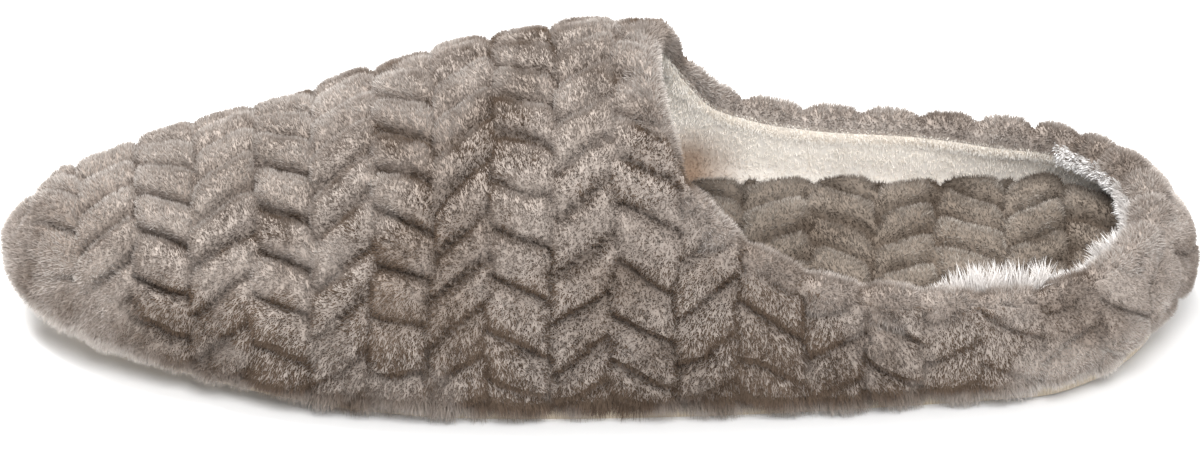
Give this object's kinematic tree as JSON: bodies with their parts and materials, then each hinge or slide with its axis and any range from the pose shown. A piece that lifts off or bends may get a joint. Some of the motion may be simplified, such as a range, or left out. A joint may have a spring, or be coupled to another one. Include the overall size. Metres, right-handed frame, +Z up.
{
  "type": "fuzzy slipper",
  "caption": "Closed-toe, open-back house slipper for the left foot: quilted plush upper with a herringbone relief, pale pile lining, padded plush footbed and a thin flat cloth outsole.",
  "frame": {"origin": "on the floor, under the middle of the slipper's bounding box", "axes": "+Z up from the floor, +X from the toe to the heel, -Y towards the outer side of the left foot"},
  "size_m": [0.266, 0.0964, 0.0736],
  "materials": {
    "plush": "matte",
    "footbed_plush": "matte",
    "lining_plush": "matte",
    "sole_cloth": "matte"
  },
  "bodies": {
    "root": {"upper": "plush", "footbed": "footbed_plush", "outsole": "sole_cloth"}
  },
  "joints": []
}
